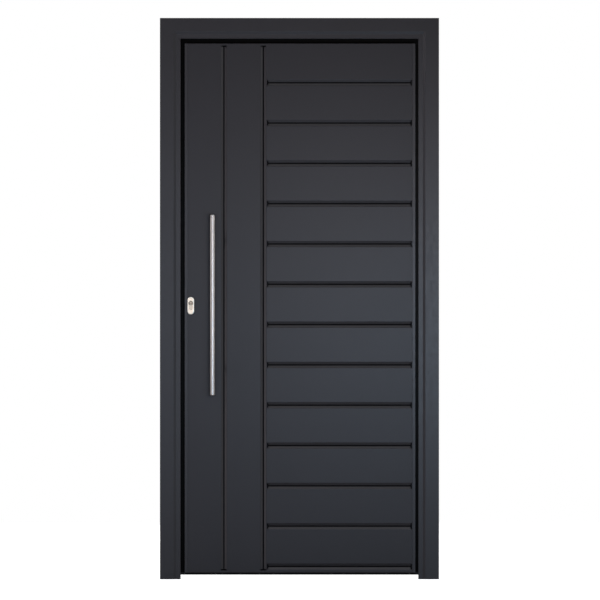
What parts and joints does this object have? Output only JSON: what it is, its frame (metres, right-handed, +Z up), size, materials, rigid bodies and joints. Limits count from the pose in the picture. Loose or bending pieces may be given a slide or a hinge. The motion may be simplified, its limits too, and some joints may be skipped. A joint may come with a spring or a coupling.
{
  "type": "single-leaf entrance door in its frame",
  "caption": "Single-leaf steel entrance door in its frame, milled anthracite board with V grooves, long round pull bar, round-ended lock plate, leaf swings inwards.",
  "frame": {"origin": "floor-level corner of the wall opening on the hinge side: on the wall side of the hinge jamb, in the plane of the wall's outer face", "axes": "+X out of the hinge jamb into the wall, to the right seen from outside; +Y from outside to the room; +Z up"},
  "size_m": [1.044, 0.2112, 2.1],
  "materials": {
    "frame_paint": "anthracite powder coat, satin, very fine texture",
    "leaf_paint": "anthracite powder coat, satin, very fine texture",
    "board_film": "fibreboard under a matt anthracite weatherproof film",
    "black_rubber": "matt black",
    "brushed_stainless": "brushed along the length",
    "satin_nickel": "satin nickel plating, slightly warm",
    "zinc_steel": "bright zinc plating"
  },
  "bodies": {
    "frame": {"hinge_jamb": "frame_paint", "lock_jamb": "frame_paint", "head": "frame_paint", "hinge_seal": "black_rubber", "lock_seal": "black_rubber", "head_seal": "black_rubber", "strike_plate": "zinc_steel", "frame_hinge_lower": "frame_paint", "frame_hinge_middle": "frame_paint", "frame_hinge_upper": "frame_paint", "hinge_pin_lower": "zinc_steel", "hinge_pin_middle": "zinc_steel", "hinge_pin_upper": "zinc_steel"},
    "leaf": {"leaf_body": "leaf_paint", "outer_board": "board_film", "lock_edge_strip": "leaf_paint", "hinge_edge_strip": "leaf_paint", "inner_board": "board_film", "bottom_sweep": "black_rubber", "pull_bar": "brushed_stainless", "pull_bar_upper_post": "brushed_stainless", "pull_bar_lower_post": "brushed_stainless", "outer_escutcheon": "satin_nickel", "inner_escutcheon": "satin_nickel", "lock_cylinder": "satin_nickel", "thumb_turn": "satin_nickel", "inner_rose": "brushed_stainless", "inner_lever": "brushed_stainless", "edge_plate": "zinc_steel", "latch": "zinc_steel", "deadbolt": "zinc_steel", "leaf_hinge_lower": "frame_paint", "leaf_hinge_middle": "frame_paint", "leaf_hinge_upper": "frame_paint"}
  },
  "joints": [
    {"name": "leaf_swing", "type": "hinge", "parent": "frame", "child": "leaf", "pos_m": [-0.03475, 0.0895, 1], "axis": [0, 0, -1], "range_deg": [0, 110]}
  ]
}
